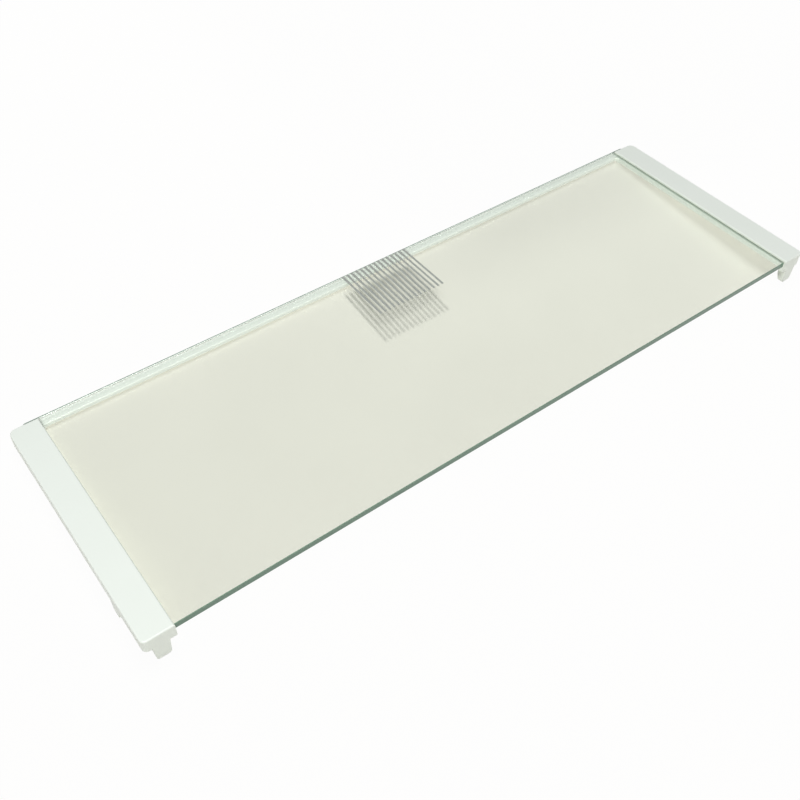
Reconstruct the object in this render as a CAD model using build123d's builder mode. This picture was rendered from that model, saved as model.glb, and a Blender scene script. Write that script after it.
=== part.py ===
from build123d import *
import os

os.makedirs("parts", exist_ok=True)

# Glass plate
glass_length = 456.0
glass_depth = 154.0
glass_thickness = 4.0
glass_corner_radius = 1.5
glass_arris = 0.3

# Frame in plan: a slotted rim round each end of the glass and a bar under its rear edge
glass_gap = 0.1
rim_width = 8.3
lip_thickness = 1.4
rim_setback = 2.0
slot_depth = 8.6
rear_bar_width = 5.0
rear_corner_radius = 4.0
front_corner_radius = 3.0
opening_corner_radius = 3.0
lip_end_radius = 0.9

# Frame in height
flange_thickness = 1.5
ledge_depth = 3.7
rear_bar_depth = 2.4
lug_drop = 10.2
ledge_bevel = 0.8

# Edge rounding of the moulding
rim_edge_radius = 0.9
base_edge_radius = 0.8
ledge_edge_radius = 0.8

# Cores under the rims, between cross ribs
rim_wall = 1.8
rim_roof = 2.0
rib_thickness = 1.4
rear_core_count = 5
core_margin = 2.0

# Front lug, flush with the front of each rim
front_lug_inset = 4.1
front_lug_width = 9.0
front_lug_depth = 5.0
front_lug_draft = 0.7
front_lug_round = 1.8
front_lug_lead = 2.0
front_lug_lead_height = 5.0

# Stop lug, flush with the outer face of each rim
stop_lug_setback = 27.0
stop_lug_length = 8.0
stop_lug_drop = 7.4
stop_lug_thickness = 3.4
stop_lug_draft = 1.0
stop_lug_round = 1.5
lug_root = 1.6

# Printed marking at the middle of the rear edge
marking_lines = 15
marking_pitch = 3.38
marking_line_width = 1.35
marking_length = 41.5
marking_offset = 3.5
ink_thickness = 0.12

# Places worked out from the sizes above
half_width = glass_length / 2 + glass_gap + rim_width
pocket_half = glass_length / 2 + glass_gap
opening_half = pocket_half - slot_depth
overall_depth = lip_thickness + glass_gap + glass_depth
front = -overall_depth / 2
rear = overall_depth / 2
rim_rear = rear - rim_setback
bar_front = rear - rear_bar_width
frame_bottom = lug_drop
ledge_top = frame_bottom + ledge_depth
glass_bottom = ledge_top + glass_gap
glass_top = glass_bottom + glass_thickness
slot_top = glass_top + glass_gap
rim_top = slot_top + flange_thickness
glass_middle = rear - glass_depth / 2
stop_lug_front = front + stop_lug_setback
stop_lug_rear = stop_lug_front + stop_lug_length

# Glass plate with ground arrises
with BuildPart() as glass_plate:
    with BuildSketch(Plane.XY.offset(glass_bottom)):
        with Locations((0, glass_middle)):
            RectangleRounded(glass_length, glass_depth, glass_corner_radius)
    extrude(amount=glass_thickness)
    chamfer(glass_plate.faces().filter_by(Axis.Z).edges(), glass_arris)

# Support frame: the U in plan at full height, then the slot for the glass, open at the rear
with BuildPart() as support_frame:
    with BuildSketch(Plane.XY.offset(frame_bottom)) as outline:
        with Locations((0, front)):
            Rectangle(2 * half_width, rim_rear - front, align=(Align.CENTER, Align.MIN))
        fillet(outline.vertices().group_by(Axis.Y)[-1], rear_corner_radius)
        fillet(outline.vertices().group_by(Axis.Y)[0], front_corner_radius)
        with Locations((0, front)):
            Rectangle(2 * pocket_half, overall_depth, align=(Align.CENTER, Align.MIN))
            Rectangle(
                2 * opening_half,
                bar_front - front,
                align=(Align.CENTER, Align.MIN),
                mode=Mode.SUBTRACT,
            )
        opening_corners = outline.vertices().filter_by(lambda v: abs(v.X) < opening_half + glass_gap)
        fillet(opening_corners.group_by(Axis.Y)[-1], opening_corner_radius)
        fillet(opening_corners.group_by(Axis.Y)[0], lip_end_radius)
    extrude(amount=rim_top - frame_bottom)
    with BuildSketch(Plane.XY.offset(ledge_top)):
        with Locations((0, front + lip_thickness)):
            Rectangle(2 * pocket_half, overall_depth, align=(Align.CENTER, Align.MIN))
    extrude(amount=slot_top - ledge_top, mode=Mode.SUBTRACT)

    # Above the slot only the flanges stay: they end at the opening, and short of the rear edge of the glass
    with BuildSketch(Plane.XY.offset(slot_top)):
        with Locations((0, front)):
            Rectangle(2 * opening_half, overall_depth, align=(Align.CENTER, Align.MIN))
        with Locations((0, rim_rear)):
            Rectangle(2 * pocket_half, rim_setback, align=(Align.CENTER, Align.MIN))
    extrude(amount=flange_thickness, mode=Mode.SUBTRACT)

    # The rear bar is shallower than the rims
    with BuildSketch(Plane.XY.offset(frame_bottom)):
        with Locations((0, bar_front - opening_corner_radius)):
            Rectangle(
                2 * opening_half,
                rear_bar_width + opening_corner_radius,
                align=(Align.CENTER, Align.MIN),
            )
    extrude(amount=ledge_depth - rear_bar_depth, mode=Mode.SUBTRACT)

    # Rounded edges: all round the top of each rim
    fillet(
        support_frame.faces().filter_by(Axis.Z).group_by(Axis.Z)[-1].edges(),
        rim_edge_radius,
    )

    # Rounded edges: the ledge along the opening, the outside of the base
    ledges = support_frame.faces().filter_by(Axis.Z).filter_by_position(
        Axis.Z, ledge_top - glass_gap, ledge_top + glass_gap
    )
    fillet(
        ledges.edges().filter_by(
            lambda e: abs(e.center().X) < opening_half + glass_gap
            and front + lip_thickness < e.center().Y < bar_front + glass_gap
        ),
        ledge_edge_radius,
    )
    base_edges = support_frame.faces().filter_by(Axis.Z).group_by(Axis.Z)[0].edges()
    fillet(
        base_edges.filter_by(lambda e: abs(e.center().X) > pocket_half + glass_gap),
        base_edge_radius,
    )

    # Bevel under the inner edge of both side ledges
    with BuildSketch(Plane.XZ.offset(-front)):
        with BuildLine():
            Polyline(
                (opening_half, frame_bottom),
                (opening_half + ledge_bevel, frame_bottom),
                (opening_half, frame_bottom + ledge_bevel),
                close=True,
            )
        make_face()
        mirror(about=Plane.YZ)
    extrude(amount=front - bar_front + opening_corner_radius, mode=Mode.SUBTRACT)

    # Cores under the rims: one between the two lugs, a row of equal ones behind the stop lug
    core_width = rim_width - 2 * rim_wall
    core_middle = half_width - rim_width / 2
    front_core_start = front + front_lug_depth + core_margin
    front_core_length = stop_lug_front - core_margin - front_core_start
    rear_core_start = stop_lug_rear + core_margin
    rear_core_pitch = (rim_rear - rim_wall + rib_thickness - rear_core_start) / rear_core_count
    with BuildSketch(Plane.XY.offset(frame_bottom)):
        for side in (-1, 1):
            with Locations((side * core_middle, front_core_start + front_core_length / 2)):
                Rectangle(core_width, front_core_length)
            for number in range(rear_core_count):
                with Locations((side * core_middle, rear_core_start + number * rear_core_pitch)):
                    Rectangle(
                        core_width,
                        rear_core_pitch - rib_thickness,
                        align=(Align.CENTER, Align.MIN),
                    )
    extrude(amount=rim_top - rim_roof - frame_bottom, mode=Mode.SUBTRACT)

    # Front lugs: drafted sides, rounded ends and a sloping lead at the back
    lug_outer = half_width - front_lug_inset
    lug_inner = lug_outer - front_lug_width
    with BuildSketch(Plane.XZ.offset(-front)) as front_lug:
        with BuildLine():
            Polyline(
                (lug_outer, frame_bottom + lug_root),
                (lug_outer - front_lug_draft, 0),
                (lug_inner + front_lug_draft, 0),
                (lug_inner, frame_bottom + lug_root),
                close=True,
            )
        make_face()
        fillet(front_lug.vertices().group_by(Axis.Y)[0], front_lug_round)
        mirror(about=Plane.YZ)
    extrude(amount=-front_lug_depth)
    lug_back = front + front_lug_depth
    with BuildSketch(Plane.YZ.offset(-half_width)):
        with BuildLine():
            Polyline(
                (lug_back, 0),
                (lug_back, front_lug_lead_height),
                (lug_back - front_lug_lead, 0),
                close=True,
            )
        make_face()
    extrude(amount=2 * half_width, mode=Mode.SUBTRACT)

    # Stop lugs in the outer wall of each rim
    for side in (-1, 1):
        with BuildSketch(Plane.YZ.offset(side * half_width)) as stop_lug:
            with BuildLine():
                Polyline(
                    (stop_lug_front, frame_bottom + lug_root),
                    (stop_lug_front + stop_lug_draft, frame_bottom - stop_lug_drop),
                    (stop_lug_rear - stop_lug_draft, frame_bottom - stop_lug_drop),
                    (stop_lug_rear, frame_bottom + lug_root),
                    close=True,
                )
            make_face()
            fillet(stop_lug.vertices().group_by(Axis.Y)[0], stop_lug_round)
        extrude(amount=-side * stop_lug_thickness)

# Marking: thin parallel bars of ink on the top of the glass
with BuildPart() as vent_marking:
    with BuildSketch(Plane.XY.offset(glass_top)):
        with Locations((marking_offset, rear - glass_arris - marking_length / 2)):
            with GridLocations(marking_pitch, 0, marking_lines, 1):
                Rectangle(marking_line_width, marking_length)
    extrude(amount=ink_thickness)

glass_plate.part.label = "glass plate"
support_frame.part.label = "support frame"
vent_marking.part.label = "vent marking"

export_step(glass_plate.part, "parts/glass_plate.step")
export_step(support_frame.part, "parts/support_frame.step")
export_step(vent_marking.part, "parts/vent_marking.step")
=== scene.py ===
"""Refrigerator shelf: a clear glass plate in a white moulded frame, with a hatched marking printed
at the middle of its rear edge. Laid out as an add-on and run as a script."""

import math

import bpy
import numpy as np
from mathutils import Matrix, Vector


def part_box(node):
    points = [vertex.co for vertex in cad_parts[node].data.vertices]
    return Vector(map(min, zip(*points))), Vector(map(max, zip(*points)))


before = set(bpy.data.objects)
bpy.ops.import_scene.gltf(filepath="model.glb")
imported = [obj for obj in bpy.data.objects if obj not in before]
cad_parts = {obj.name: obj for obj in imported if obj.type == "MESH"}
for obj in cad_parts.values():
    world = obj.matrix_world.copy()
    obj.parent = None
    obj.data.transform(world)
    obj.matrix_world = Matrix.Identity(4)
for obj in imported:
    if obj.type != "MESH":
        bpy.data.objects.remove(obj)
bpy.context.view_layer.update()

bl_info = {
    "name": "Refrigerator Shelf",
    "version": (1, 0, 0),
    "blender": (4, 5, 0),
    "location": "View3D > Sidebar > Shelf",
    "description": "Finishes the glass, the frame and the printed marking of a refrigerator shelf",
    "category": "Object",
}

GLASS_LOW, GLASS_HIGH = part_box("glass_plate")
FRAME_LOW, FRAME_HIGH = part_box("support_frame")
WHITE = (1.0, 1.0, 1.0, 1.0)
BLACK = (0.0, 0.0, 0.0, 1.0)

# Glass: a pair of lengths is where a change starts and ends, in metres
GLASS_IOR = 1.52
BAND_START = 0.75  # share of the ground band's width at which it starts to fade
ARRIS_BAND = (2.0, 2.5)  # the matt arris fades over these multiples of the band's width
ARRIS_DROP = (0.0013, 0.0010)  # ... and between these depths below the top face
SMEAR_STRETCH = (6.0, 26.0, 1.0)  # smears for each metre along x, y and z
GRIND_STRETCH = (1.0, 1.0, 8.0)
GRIND_CELLS = 900.0  # grinding marks for each metre
GRIND_BUMP = 0.06
GRIND_DEPTH = 0.0001
MATT_CLEAR = 0.15  # transmission that the matt front edge and arris keep
SHADOW_CLEAR = 0.985  # light that gets through the plate to other surfaces

# Frame
PLASTIC_IOR = 1.53
BAR_ENDS = (0.0090, 0.0080)  # in from the ends of the glass
BAR_FRONT = (0.0065, 0.0055)  # from the rear of the frame
SLOT_MOUTH = (0.0083, 0.0076)  # in from the ends of the glass
SLOT_BACK = (0.0002, 0.0010)  # out from the ends of the glass
SLOT_FRONT = (0.0004, 0.0001)  # in front of the glass
SLOT_FLOOR = (0.0007, 0.0003)  # below the glass
SLOT_ROOF = (0.0, 0.0003)  # above the glass
RUB_HEIGHT = (0.0005, 0.0045)  # above the ends of the lugs
RUB_STRETCH = (900.0, 45.0, 300.0)
RUB_SHARE = 0.45
RUB_ROUGHNESS = 0.2
CLOUD_CELLS = 14.0
CLOUD_SHARE = 0.6
SPECK_CELLS = 420.0
SPECK_SHARE = 0.10
SHEEN_CELLS = 60.0
SHEEN_RANGE = (0.05, 0.07)  # below and above the set roughness
WAVE_CELLS = 35.0
WAVE_BUMP, WAVE_DEPTH = 0.05, 0.002
GRAIN_BUMP, GRAIN_DEPTH = 0.10, 0.0001

# Marking
INK_IOR = 1.5
THIN_CELLS = 900.0
THIN_SHARE = 0.7
SCREEN_CELLS = 4200.0
SCREEN_SHARE = 0.3
INK_RANGE = (0.06, 0.10)  # below and above the set roughness
INK_BUMP, INK_DEPTH = 0.12, 0.00004

# Stage
MOTTLE_CELLS = 9.0
MOTTLE_DIM = 0.97
SHADE_ACROSS = (0.0, 0.11)  # the shade at the rear right sets in along x
SHADE_BACK = (0.0, 0.07)  # ... and along y
WHITE_SHARE = 0.95  # how far the board is plain white to the camera and in reflections
FIRST_DIFFUSE = 0.5  # a path with fewer diffuse bounces than this has had none
LUG_FOOT = 0.003  # from the front of the frame to the line on which its lugs stand
LAMP_AIM = (0.0, 0.0, 0.01)
REAR_LAMP_SIZE = 0.75
SIDE_LAMP_SIZE = 2.40
FRONT_LAMP_SIZE = 0.50
SENSOR_WIDTH = 36.0  # in millimetres
CLIP_START = 0.01


# -------------------------------------------------------------------------------------------------
# What a user would change
# -------------------------------------------------------------------------------------------------
class ShelfGlassSettings(bpy.types.PropertyGroup):
    """The float glass plate."""

    face_roughness: bpy.props.FloatProperty(
        name="Face roughness", description="Roughness of the clean polished faces",
        default=0.012, min=0.0, max=1.0, subtype="FACTOR")
    smear_roughness: bpy.props.FloatProperty(
        name="Smear roughness", description="Roughness that wiping smears add to the faces",
        default=0.03, min=0.0, max=1.0, subtype="FACTOR")
    edge_roughness: bpy.props.FloatProperty(
        name="Edge roughness", description="Roughness of the ground edges",
        default=0.14, min=0.0, max=1.0, subtype="FACTOR")
    edge_band: bpy.props.FloatProperty(
        name="Edge band", description="Width of the ground margin round the plate's outline",
        default=0.00036, min=0.0001, max=0.01, subtype="DISTANCE", unit="LENGTH")
    edge_colour: bpy.props.FloatVectorProperty(
        name="Edge colour",
        description="Colour of the light that the ground front edge and the rear arris scatter",
        default=(0.140, 0.252, 0.178), size=3, min=0.0, max=1.0, subtype="COLOR")
    tint: bpy.props.FloatVectorProperty(
        name="Tint", description="Colour that the glass lets through along its length",
        default=(0.095, 0.762, 0.048), size=3, min=0.0, max=1.0, subtype="COLOR")
    tint_density: bpy.props.FloatProperty(
        name="Tint density", description="Absorption for each metre of glass",
        default=10.0, min=0.0, max=200.0)


class ShelfFrameSettings(bpy.types.PropertyGroup):
    """The white moulded frame."""

    white: bpy.props.FloatVectorProperty(
        name="White", description="Main colour of the moulded plastic",
        default=(0.844, 0.897, 0.838), size=3, min=0.0, max=1.0, subtype="COLOR")
    cream: bpy.props.FloatVectorProperty(
        name="Cream", description="Slightly aged colour of the moulded plastic",
        default=(0.822, 0.874, 0.811), size=3, min=0.0, max=1.0, subtype="COLOR")
    # Painted light: a lighter white for the rear bar, making up for the light that the glass above
    # it takes away
    clean: bpy.props.FloatVectorProperty(
        name="Clean white",
        description="Colour of the rear bar, which the glass has kept from ageing",
        default=(0.915, 0.945, 0.900), size=3, min=0.0, max=1.0, subtype="COLOR")
    # Painted shade: a darker grey green for the insides of the slots, which lie in shade under the
    # flanges
    slot_shade: bpy.props.FloatVectorProperty(
        name="Dust", description="Colour of the dust that gathers in the slots for the glass",
        default=(0.50, 0.56, 0.50), size=3, min=0.0, max=1.0, subtype="COLOR")
    scuff: bpy.props.FloatVectorProperty(
        name="Scuff",
        description="Colour of the rubbed marks where the frame slides on its rails",
        default=(0.66, 0.67, 0.64), size=3, min=0.0, max=1.0, subtype="COLOR")
    roughness: bpy.props.FloatProperty(
        name="Roughness", description="Roughness of the satin moulded surface",
        default=0.36, min=0.0, max=1.0, subtype="FACTOR")
    grain: bpy.props.FloatProperty(
        name="Grain", description="Size of the fine grain of the mould's surface",
        default=0.0006, min=0.0001, max=0.01, subtype="DISTANCE", unit="LENGTH")


class ShelfMarkingSettings(bpy.types.PropertyGroup):
    """The hatched marking printed on the glass."""

    ink: bpy.props.FloatVectorProperty(
        name="Ink", description="Colour of the baked grey ink",
        default=(0.30, 0.32, 0.30), size=3, min=0.0, max=1.0, subtype="COLOR")
    thin_ink: bpy.props.FloatVectorProperty(
        name="Thin ink", description="Colour where the ink lies thinner",
        default=(0.42, 0.44, 0.41), size=3, min=0.0, max=1.0, subtype="COLOR")
    roughness: bpy.props.FloatProperty(
        name="Roughness", description="Roughness of the baked ink",
        default=0.5, min=0.0, max=1.0, subtype="FACTOR")


class ShelfStageSettings(bpy.types.PropertyGroup):
    """Floor, light and camera."""

    floor_colour: bpy.props.FloatVectorProperty(
        name="Floor colour", description="Colour of the pale board under the shelf",
        default=(0.825, 0.797, 0.725), size=3, min=0.0, max=1.0, subtype="COLOR")
    # Painted shade: the board is darkened towards the rear right
    floor_shade: bpy.props.FloatProperty(
        name="Floor shade", description="How much darker the board is at the rear right",
        default=0.11, min=0.0, max=1.0, subtype="FACTOR")
    floor_width: bpy.props.FloatProperty(
        name="Floor width", description="Side of the square floor",
        default=3.0, min=0.6, subtype="DISTANCE", unit="LENGTH")
    floor_slope: bpy.props.FloatProperty(
        name="Floor slope",
        description="Rise of the floor from the front lugs to the rear bar, for each metre",
        default=0.0669, min=0.0, max=0.5)
    sky_level: bpy.props.FloatProperty(
        name="Sky level", description="Strength of the even light from all round",
        default=0.25, min=0.0, max=2.0)
    rear_power: bpy.props.FloatProperty(
        name="Rear lamp", description="Power of the far lamp behind the shelf",
        default=308.0, min=0.0, unit="POWER")
    rear_place: bpy.props.FloatVectorProperty(
        name="Rear lamp place", description="Where the far lamp stands",
        default=(2.031, 4.751, 4.204), size=3, subtype="TRANSLATION", unit="LENGTH")
    side_power: bpy.props.FloatProperty(
        name="Side lamp", description="Power of the broad lamp high on the right",
        default=64.0, min=0.0, unit="POWER")
    side_place: bpy.props.FloatVectorProperty(
        name="Side lamp place", description="Where the broad lamp on the right stands",
        default=(0.76, 0.70, 4.00), size=3, subtype="TRANSLATION", unit="LENGTH")
    fill_power: bpy.props.FloatProperty(
        name="Soft lamp", description="Power of the broad lamp at the front left",
        default=17.2, min=0.0, unit="POWER")
    fill_place: bpy.props.FloatVectorProperty(
        name="Soft lamp place", description="Where the broad lamp at the front left stands",
        default=(-0.45, -0.55, 1.32), size=3, subtype="TRANSLATION", unit="LENGTH")
    lens: bpy.props.FloatProperty(
        name="Lens", description="Focal length of the camera on a 36 mm sensor",
        default=43.16, min=10.0, max=300.0, subtype="DISTANCE_CAMERA")
    camera_place: bpy.props.FloatVectorProperty(
        name="Camera place", description="Where the camera stands",
        default=(-0.2756, -0.3059, 0.4110), size=3, subtype="TRANSLATION", unit="LENGTH")
    camera_pitch: bpy.props.FloatProperty(
        name="Camera pitch", description="How far the camera looks down",
        default=math.radians(47.765), subtype="ANGLE", unit="ROTATION")
    camera_yaw: bpy.props.FloatProperty(
        name="Camera yaw", description="How far the camera turns to the right of straight ahead",
        default=math.radians(38.494), subtype="ANGLE", unit="ROTATION")
    camera_roll: bpy.props.FloatProperty(
        name="Camera roll", description="How far the camera leans",
        default=math.radians(-1.976), subtype="ANGLE", unit="ROTATION")


# -------------------------------------------------------------------------------------------------
# Shared helpers
# -------------------------------------------------------------------------------------------------
def add_node(tree, kind, place, inputs=None, **options):
    """Puts one node into a tree; an input is a plain value or the socket that feeds it."""
    item = tree.nodes.new(kind)
    item.location = place
    for key, value in options.items():
        setattr(item, key, value)
    for key, value in (inputs or {}).items():
        feed(tree, item.inputs[key], value)
    return item


def feed(tree, socket, value):
    """Links a socket to another one, or sets its plain value."""
    if isinstance(value, bpy.types.NodeSocket):
        tree.links.new(value, socket)
    else:
        socket.default_value = value


def math_node(tree, place, operation, first, second=None):
    """One Math node's result."""
    values = {i: v for i, v in enumerate((first, second)) if v is not None}
    return add_node(tree, "ShaderNodeMath", place, values, operation=operation).outputs[0]


def ramp(tree, place, value, low, high, start=0.0, end=1.0):
    """A smooth step of a value between low and high, from start to end."""
    inputs = {"Value": value, "From Min": low, "From Max": high, "To Min": start, "To Max": end}
    return add_node(tree, "ShaderNodeMapRange", place, inputs,
                    interpolation_type="SMOOTHSTEP").outputs["Result"]


def mix_colour(tree, place, factor, first, second):
    """Two colours mixed by a factor."""
    mix = add_node(tree, "ShaderNodeMix", place, data_type="RGBA")
    for number, value in ((0, factor), (6, first), (7, second)):
        feed(tree, mix.inputs[number], value)
    return mix.outputs[2]


def noise(tree, place, vector, scale, detail=3.0, rough=0.5):
    """A noise value at a number of cells for each metre."""
    inputs = {"Vector": vector, "Scale": scale, "Detail": detail, "Roughness": rough}
    return add_node(tree, "ShaderNodeTexNoise", place, inputs).outputs["Fac"]


def stretched(tree, place, vector, scale):
    """Coordinates stretched by a scale along each axis."""
    inputs = {"Vector": vector, "Scale": scale}
    return add_node(tree, "ShaderNodeMapping", place, inputs).outputs["Vector"]


def new_material(name):
    """An empty node material, its tree and the object's own coordinates."""
    material = bpy.data.materials.new(name)
    material.use_nodes = True
    tree = material.node_tree
    tree.nodes.clear()
    place = add_node(tree, "ShaderNodeTexCoord", (-1400, 0)).outputs["Object"]
    return material, tree, place


def dress(node, material):
    """Gives a CAD node its material in every slot."""
    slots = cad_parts[node].data.materials
    if not slots:
        slots.append(material)
    for i in range(len(slots)):
        slots[i] = material


def four(colour):
    """A colour with full opacity."""
    return (*colour, 1.0)


# -------------------------------------------------------------------------------------------------
# The pieces
# -------------------------------------------------------------------------------------------------
def glass_material(settings):
    """Clear float glass: polished faces with faint smears, ground edges within a narrow band of the
    outline, a matt front edge and rear arris, a green tint that grows with the length of glass
    looked through, and light shadows."""
    material, tree, place = new_material("float_glass")
    band = settings.edge_band

    # Distances in from the outline, and the ground band along it
    axes = add_node(tree, "ShaderNodeSeparateXYZ", (-1200, 200), {"Vector": place})
    from_ends = math_node(tree, (-850, 300), "SUBTRACT", GLASS_HIGH.x,
                          math_node(tree, (-1000, 300), "ABSOLUTE", axes.outputs["X"]))
    from_front = math_node(tree, (-850, 150), "SUBTRACT", axes.outputs["Y"], GLASS_LOW.y)
    from_rear = math_node(tree, (-850, 0), "SUBTRACT", GLASS_HIGH.y, axes.outputs["Y"])
    inward = math_node(tree, (-550, 200), "MINIMUM", from_ends,
                       math_node(tree, (-700, 100), "MINIMUM", from_front, from_rear))
    ground = ramp(tree, (-350, 200), inward, band * BAND_START, band, 1.0, 0.0)

    # Wiping smears on the faces, and the roughness of the ground edges
    wiped = stretched(tree, (-1200, -200), place, SMEAR_STRETCH)
    smear = ramp(tree, (-700, -200), noise(tree, (-950, -200), wiped, 1.0, 4.0, 0.6), 0.45, 0.75)
    face = ramp(tree, (-500, -200), smear, 0.0, 1.0, settings.face_roughness,
                settings.face_roughness + settings.smear_roughness)
    rough = math_node(tree, (-150, 0), "MAXIMUM", face,
                      math_node(tree, (-300, 0), "MULTIPLY", ground, settings.edge_roughness))

    # Grinding marks on the edges
    along = stretched(tree, (-950, -420), place, GRIND_STRETCH)
    grinding = noise(tree, (-700, -420), along, GRIND_CELLS, 2.0)
    bump = add_node(tree, "ShaderNodeBump", (-150, -350),
                    {"Strength": math_node(tree, (-350, -350), "MULTIPLY", ground, GRIND_BUMP),
                     "Distance": GRIND_DEPTH, "Height": grinding})

    # The front edge and the upper arris at the rear scatter light and let little of it in
    front = ramp(tree, (-350, 400), from_front, band * BAND_START, band, 1.0, 0.0)
    arris = math_node(tree, (-350, 600), "MULTIPLY",
                      ramp(tree, (-550, 600), from_rear, *(band * n for n in ARRIS_BAND), 1.0, 0.0),
                      ramp(tree, (-550, 750), axes.outputs["Z"],
                           *(GLASS_HIGH.z - drop for drop in ARRIS_DROP)))
    matt = math_node(tree, (-250, 500), "MAXIMUM", front, arris)
    colour = mix_colour(tree, (-150, 250), matt, WHITE, four(settings.edge_colour))
    clear = ramp(tree, (-150, 400), matt, 0.0, 1.0, 1.0, MATT_CLEAR)
    surface = add_node(tree, "ShaderNodeBsdfPrincipled", (100, 100),
                       {"Base Color": colour, "Roughness": rough, "IOR": GLASS_IOR,
                        "Transmission Weight": clear, "Normal": bump.outputs["Normal"]})

    # Light on its way to other surfaces goes straight through
    see_through = add_node(tree, "ShaderNodeBsdfTransparent", (100, 260),
                           {"Color": four((SHADOW_CLEAR,) * 3)})
    path = add_node(tree, "ShaderNodeLightPath", (100, 700))
    lit = add_node(tree, "ShaderNodeMixShader", (300, 400),
                   {0: path.outputs["Is Diffuse Ray"], 1: surface.outputs[0],
                    2: see_through.outputs[0]})
    either = add_node(tree, "ShaderNodeMixShader", (450, 200),
                      {0: path.outputs["Is Shadow Ray"], 1: lit.outputs[0],
                       2: see_through.outputs[0]})
    tint = add_node(tree, "ShaderNodeVolumeAbsorption", (400, -50),
                    {"Color": four(settings.tint), "Density": settings.tint_density})
    add_node(tree, "ShaderNodeOutputMaterial", (650, 150),
             {"Surface": either.outputs[0], "Volume": tint.outputs[0]})
    return material


class SHELF_OT_glass_plate(bpy.types.Operator):
    """Finishes the glass plate"""

    bl_idname = "shelf.glass_plate"
    bl_label = "Glass Plate"
    bl_options = {"REGISTER", "UNDO"}

    def execute(self, context):
        dress("glass_plate", glass_material(context.scene.shelf_glass))
        return {"FINISHED"}


def plastic_material(settings):
    """White satin moulded plastic: broad, faint yellowing but on the rear bar, which is painted a
    lighter white to make up for light lost through the glass above it, painted shade in the slots,
    fine specks, a fine mould grain, a satin sheen that varies a little, and rubbed marks on the
    lugs where the shelf slides on its rails."""
    material, tree, place = new_material("white_plastic")
    scuff = four(settings.scuff)
    axes = add_node(tree, "ShaderNodeSeparateXYZ", (-1200, 300), {"Vector": place})
    across = math_node(tree, (-900, 900), "ABSOLUTE", axes.outputs["X"])

    # Yellowing, and the rear bar painted a lighter white: painted light in place of the light lost
    # through the glass above it
    inner = ramp(tree, (-700, 900), across, *(GLASS_HIGH.x - inset for inset in BAR_ENDS), 1.0, 0.0)
    cloud = ramp(tree, (-700, 500), noise(tree, (-950, 500), place, CLOUD_CELLS, 3.0, 0.55),
                 0.35, 0.70)
    body = mix_colour(tree, (-450, 500),
                      math_node(tree, (-600, 400), "MULTIPLY", cloud, CLOUD_SHARE),
                      four(settings.white), four(settings.cream))
    # Painted light on the rear bar
    bar = ramp(tree, (-700, 700), axes.outputs["Y"], *(FRAME_HIGH.y - inset for inset in BAR_FRONT))
    body = mix_colour(tree, (-350, 600), math_node(tree, (-500, 700), "MULTIPLY", bar, inner),
                      body, four(settings.clean))

    # Painted shade: a darker grey green inside the slots for the glass, within five limits
    slot = ramp(tree, (-700, 1100), across, *(GLASS_HIGH.x - inset for inset in SLOT_MOUTH))
    limits = (
        (across, [GLASS_HIGH.x + step for step in SLOT_BACK], 1.0),
        (axes.outputs["Y"], [GLASS_LOW.y - step for step in SLOT_FRONT], 0.0),
        (axes.outputs["Z"], [GLASS_LOW.z - step for step in SLOT_FLOOR], 0.0),
        (axes.outputs["Z"], [GLASS_HIGH.z + step for step in SLOT_ROOF], 1.0),
    )
    for row, (axis, (low, high), start) in enumerate(limits):
        limit = ramp(tree, (-700, 1300 + 200 * row), axis, low, high, start, 1.0 - start)
        slot = math_node(tree, (-500 + 60 * row, 1100 + 200 * row), "MULTIPLY", slot, limit)
    # Painted shade in the slots
    body = mix_colour(tree, (-300, 700), slot, body, four(settings.slot_shade))

    # Specks
    speck = ramp(tree, (-700, 250), noise(tree, (-950, 250), place, SPECK_CELLS, 1.0, 0.4),
                 0.72, 0.80)
    body = mix_colour(tree, (-250, 450),
                      math_node(tree, (-450, 250), "MULTIPLY", speck, SPECK_SHARE), body, scuff)

    # Rubbed marks on the lugs
    streaks = stretched(tree, (-1150, 0), place, RUB_STRETCH)
    slide = noise(tree, (-950, 0), streaks, 1.0, 3.0, 0.6)
    low = ramp(tree, (-700, 100), axes.outputs["Z"],
               *(FRAME_LOW.z + height for height in RUB_HEIGHT), 1.0, 0.0)
    rubbed = math_node(tree, (-450, 50), "MULTIPLY", low,
                       ramp(tree, (-700, -80), slide, 0.48, 0.66))
    body = mix_colour(tree, (-50, 350),
                      math_node(tree, (-250, 200), "MULTIPLY", rubbed, RUB_SHARE), body, scuff)

    # Sheen
    sheen = noise(tree, (-950, -250), place, SHEEN_CELLS, 2.0, 0.5)
    rough = math_node(tree, (-50, 100), "ADD",
                      ramp(tree, (-450, -250), sheen, 0.3, 0.7,
                           settings.roughness - SHEEN_RANGE[0],
                           settings.roughness + SHEEN_RANGE[1]),
                      math_node(tree, (-250, 0), "MULTIPLY", rubbed, RUB_ROUGHNESS))

    # Mould grain over a faint wave of the surface
    grain = noise(tree, (-950, -450), place, 1.0 / settings.grain, 2.0, 0.5)
    wave = noise(tree, (-950, -650), place, WAVE_CELLS, 1.0, 0.4)
    soft = add_node(tree, "ShaderNodeBump", (-450, -650),
                    {"Strength": WAVE_BUMP, "Distance": WAVE_DEPTH, "Height": wave})
    fine = add_node(tree, "ShaderNodeBump", (-250, -450),
                    {"Strength": GRAIN_BUMP, "Distance": GRAIN_DEPTH, "Height": grain,
                     "Normal": soft.outputs["Normal"]})
    surface = add_node(tree, "ShaderNodeBsdfPrincipled", (200, 100),
                       {"Base Color": body, "Roughness": rough, "IOR": PLASTIC_IOR,
                        "Normal": fine.outputs["Normal"]})
    add_node(tree, "ShaderNodeOutputMaterial", (500, 100), {"Surface": surface.outputs[0]})
    return material


class SHELF_OT_support_frame(bpy.types.Operator):
    """Finishes the moulded frame"""

    bl_idname = "shelf.support_frame"
    bl_label = "Support Frame"
    bl_options = {"REGISTER", "UNDO"}

    def execute(self, context):
        dress("support_frame", plastic_material(context.scene.shelf_frame))
        return {"FINISHED"}


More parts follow.
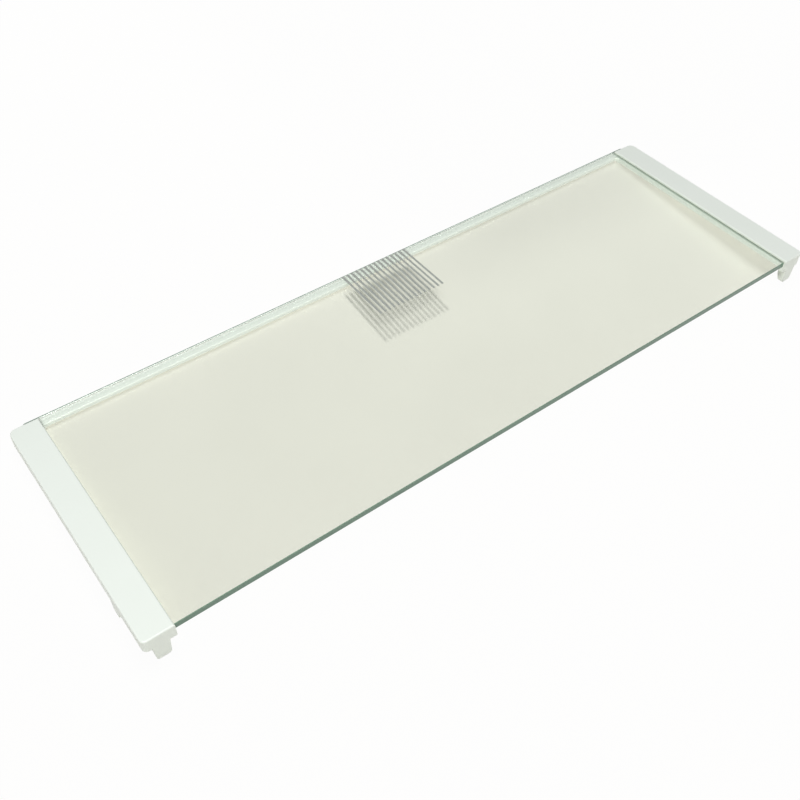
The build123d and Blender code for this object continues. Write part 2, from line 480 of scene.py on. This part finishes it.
def ink_material(settings):
    """Baked grey ink: the screen's mesh and thin spots vary its colour and gloss."""
    material, tree, place = new_material("grey_ink")
    thin = ramp(tree, (-700, 200), noise(tree, (-950, 200), place, THIN_CELLS, 3.0, 0.6),
                0.42, 0.68)
    screen = add_node(tree, "ShaderNodeTexVoronoi", (-950, -50),
                      {"Vector": place, "Scale": SCREEN_CELLS})
    dots = ramp(tree, (-700, -50), screen.outputs["Distance"], 0.2, 0.6)
    cover = math_node(tree, (-450, 100), "ADD",
                      math_node(tree, (-600, 250), "MULTIPLY", thin, THIN_SHARE),
                      math_node(tree, (-600, -100), "MULTIPLY", dots, SCREEN_SHARE))
    body = mix_colour(tree, (-250, 200), cover, four(settings.ink), four(settings.thin_ink))
    rough = ramp(tree, (-250, 0), thin, 0.0, 1.0,
                 settings.roughness - INK_RANGE[0], settings.roughness + INK_RANGE[1])
    bump = add_node(tree, "ShaderNodeBump", (-250, -250),
                    {"Strength": INK_BUMP, "Distance": INK_DEPTH, "Height": dots})
    surface = add_node(tree, "ShaderNodeBsdfPrincipled", (100, 100),
                       {"Base Color": body, "Roughness": rough, "IOR": INK_IOR,
                        "Normal": bump.outputs["Normal"]})
    add_node(tree, "ShaderNodeOutputMaterial", (400, 100), {"Surface": surface.outputs[0]})
    return material


class SHELF_OT_vent_marking(bpy.types.Operator):
    """Finishes the printed hatch"""

    bl_idname = "shelf.vent_marking"
    bl_label = "Printed Marking"
    bl_options = {"REGISTER", "UNDO"}

    def execute(self, context):
        dress("vent_marking", ink_material(context.scene.shelf_marking))
        return {"FINISHED"}


# -------------------------------------------------------------------------------------------------
# The stage
# -------------------------------------------------------------------------------------------------
def floor_sheet(width, slope, pivot, count=9):
    """A square grid of two parameters across x and y; its height is the slope times the distance
    behind the pivot line, so that the front lugs and the rear bar both stand on it."""
    u, v = np.meshgrid(np.linspace(-0.5, 0.5, count), np.linspace(-0.5, 0.5, count))
    points = np.stack([u * width, v * width, slope * (v * width - pivot)], -1).reshape(-1, 3)
    first = (np.arange(count - 1)[:, None] * count + np.arange(count - 1)[None, :]).ravel()
    faces = np.stack([first, first + 1, first + count + 1, first + count], -1)
    mesh = bpy.data.meshes.new("pale_board")
    mesh.from_pydata(points.tolist(), [], faces.tolist())
    mesh.update()
    return mesh


def floor_material(settings):
    """A pale board with a faint mottle and a soft painted shade at the rear right. To the camera
    and in reflections it is the white background, with the shadows left faintly on it; through the
    glass the lit board itself shows."""
    material, tree, place = new_material("pale_board")
    mottle = ramp(tree, (-700, 0), noise(tree, (-950, 0), place, MOTTLE_CELLS, 3.0, 0.5), 0.3, 0.7)
    dim = tuple(c * MOTTLE_DIM for c in settings.floor_colour)
    axes = add_node(tree, "ShaderNodeSeparateXYZ", (-1200, -300), {"Vector": place})
    # Painted shade, darkening the board towards the rear right
    shade = math_node(tree, (-700, -300), "MULTIPLY",
                      ramp(tree, (-950, -200), axes.outputs["X"], *SHADE_ACROSS),
                      ramp(tree, (-950, -450), axes.outputs["Y"], *SHADE_BACK))
    shade = math_node(tree, (-550, -300), "MULTIPLY", shade, settings.floor_shade)
    colour = mix_colour(tree, (-450, 0), mottle, four(settings.floor_colour), four(dim))
    board = add_node(tree, "ShaderNodeBsdfDiffuse", (-200, 0),
                     {"Color": mix_colour(tree, (-350, -100), shade, colour, BLACK)})

    # Glossy rays that have come through the glass don't count as reflections
    white = add_node(tree, "ShaderNodeEmission", (-200, -200), {"Color": WHITE, "Strength": 1.0})
    path = add_node(tree, "ShaderNodeLightPath", (-900, 500))
    mirrored = math_node(tree, (-650, 500), "SUBTRACT", path.outputs["Is Glossy Ray"],
                         path.outputs["Is Transmission Ray"])
    seen = math_node(tree, (-450, 500), "MAXIMUM", path.outputs["Is Camera Ray"], mirrored)
    seen = math_node(tree, (-300, 400), "MULTIPLY", seen, WHITE_SHARE)
    share = math_node(tree, (0, 300), "MULTIPLY", seen,
                      math_node(tree, (-150, 500), "LESS_THAN", path.outputs["Diffuse Depth"],
                                FIRST_DIFFUSE))
    both = add_node(tree, "ShaderNodeMixShader", (200, 100),
                    {0: share, 1: board.outputs[0], 2: white.outputs[0]})
    add_node(tree, "ShaderNodeOutputMaterial", (400, 100), {"Surface": both.outputs[0]})
    return material


def sky(settings):
    """A white world: full white to the camera, in reflections and through the glass, and an even
    soft light on everything else."""
    world = bpy.data.worlds.new("soft_white_room")
    world.use_nodes = True
    tree = world.node_tree
    tree.nodes.clear()
    path = add_node(tree, "ShaderNodeLightPath", (-600, 200))
    seen = math_node(tree, (-400, 200), "MAXIMUM", path.outputs["Is Camera Ray"],
                     path.outputs["Is Glossy Ray"])
    seen = math_node(tree, (-250, 200), "MAXIMUM", seen, path.outputs["Is Transmission Ray"])
    seen = math_node(tree, (-250, 0), "MULTIPLY", seen,
                     math_node(tree, (-400, 0), "LESS_THAN", path.outputs["Diffuse Depth"],
                               FIRST_DIFFUSE))
    level = add_node(tree, "ShaderNodeMapRange", (-100, 200),
                     {"Value": seen, "To Min": settings.sky_level, "To Max": 1.0}).outputs["Result"]
    light = add_node(tree, "ShaderNodeBackground", (100, 100), {"Color": WHITE, "Strength": level})
    add_node(tree, "ShaderNodeOutputWorld", (300, 100), {"Surface": light.outputs[0]})
    bpy.context.scene.world = world


def group(name, pieces):
    """A collection of pieces, for a lamp to light or to throw shadows from."""
    holder = bpy.data.collections.new(name)
    for piece in pieces:
        holder.objects.link(piece)
    return holder


def lamp(name, place, power, size, lit, blockers=None):
    """A round area lamp at a place, turned to the shelf. It lights one group of pieces, and only
    the blockers, where they are given, throw its shadow."""
    data = bpy.data.lights.new(name, "AREA")
    data.shape, data.size, data.energy = "DISK", size, power
    holder = bpy.data.objects.new(name, data)
    bpy.context.scene.collection.objects.link(holder)
    place = Vector(place)
    holder.rotation_mode = "QUATERNION"
    holder.location = place
    holder.rotation_quaternion = (Vector(LAMP_AIM) - place).to_track_quat("-Z", "Y")
    holder.visible_camera = False
    holder.light_linking.receiver_collection = group(name + "_lights", lit)
    if blockers:
        holder.light_linking.blocker_collection = group(name + "_shadows", blockers)


def camera(settings):
    """The camera at the photograph's viewing angle: heading, then pitch down, then a lean about
    its axis."""
    pitch, yaw, roll = settings.camera_pitch, settings.camera_yaw, settings.camera_roll
    ahead = Vector((math.sin(yaw) * math.cos(pitch), math.cos(yaw) * math.cos(pitch),
                    -math.sin(pitch)))
    right = Vector((math.cos(yaw), -math.sin(yaw), 0.0))
    down = ahead.cross(right)
    across = math.cos(roll) * right + math.sin(roll) * down
    drop = -math.sin(roll) * right + math.cos(roll) * down
    data = bpy.data.cameras.new("photo_view")
    data.lens, data.sensor_width = settings.lens, SENSOR_WIDTH
    data.clip_start = CLIP_START
    holder = bpy.data.objects.new("photo_view", data)
    bpy.context.scene.collection.objects.link(holder)
    turn = Matrix((across, -drop, -ahead)).transposed().to_4x4()
    turn.translation = Vector(settings.camera_place)
    holder.matrix_world = turn
    bpy.context.scene.camera = holder


class SHELF_OT_stage(bpy.types.Operator):
    """Sets up the pale floor, the light and the camera"""

    bl_idname = "shelf.stage"
    bl_label = "Stage"
    bl_options = {"REGISTER", "UNDO"}

    def execute(self, context):
        settings = context.scene.shelf_stage
        sheet = floor_sheet(settings.floor_width, settings.floor_slope, FRAME_LOW.y + LUG_FOOT)
        board = bpy.data.objects.new("pale_board", sheet)
        context.scene.collection.objects.link(board)
        board.data.materials.append(floor_material(settings))
        sky(settings)
        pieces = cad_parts
        lamp("rear_lamp", settings.rear_place, settings.rear_power, REAR_LAMP_SIZE,
             [board], [pieces["vent_marking"]])
        lamp("side_lamp", settings.side_place, settings.side_power, SIDE_LAMP_SIZE, [board])
        lamp("front_lamp", settings.fill_place, settings.fill_power, FRONT_LAMP_SIZE,
             [pieces["glass_plate"], pieces["support_frame"], pieces["vent_marking"]])
        camera(settings)
        context.scene.view_settings.view_transform = "Standard"
        return {"FINISHED"}


class SHELF_PT_pieces(bpy.types.Panel):
    """Lists the shelf's pieces and their settings"""

    bl_idname = "SHELF_PT_pieces"
    bl_label = "Refrigerator Shelf"
    bl_space_type = "VIEW_3D"
    bl_region_type = "UI"
    bl_category = "Shelf"

    def draw(self, context):
        for operator, settings_name in PIECES:
            box = self.layout.box()
            box.operator(operator.bl_idname)
            settings = getattr(context.scene, settings_name)
            for key in settings.bl_rna.properties.keys():
                if key not in {"rna_type", "name"}:
                    box.prop(settings, key)


SETTINGS = {
    "shelf_glass": ShelfGlassSettings,
    "shelf_frame": ShelfFrameSettings,
    "shelf_marking": ShelfMarkingSettings,
    "shelf_stage": ShelfStageSettings,
}
PIECES = (
    (SHELF_OT_glass_plate, "shelf_glass"),
    (SHELF_OT_support_frame, "shelf_frame"),
    (SHELF_OT_vent_marking, "shelf_marking"),
    (SHELF_OT_stage, "shelf_stage"),
)
CLASSES = (*SETTINGS.values(), *(operator for operator, settings_name in PIECES), SHELF_PT_pieces)


def register():
    for item in CLASSES:
        bpy.utils.register_class(item)
    for key, kind in SETTINGS.items():
        setattr(bpy.types.Scene, key, bpy.props.PointerProperty(type=kind))


def unregister():
    for key in SETTINGS:
        delattr(bpy.types.Scene, key)
    for item in reversed(CLASSES):
        bpy.utils.unregister_class(item)


def main():
    register()
    bpy.ops.shelf.glass_plate()
    bpy.ops.shelf.support_frame()
    bpy.ops.shelf.vent_marking()
    bpy.ops.shelf.stage()


if __name__ == "__main__":
    main()
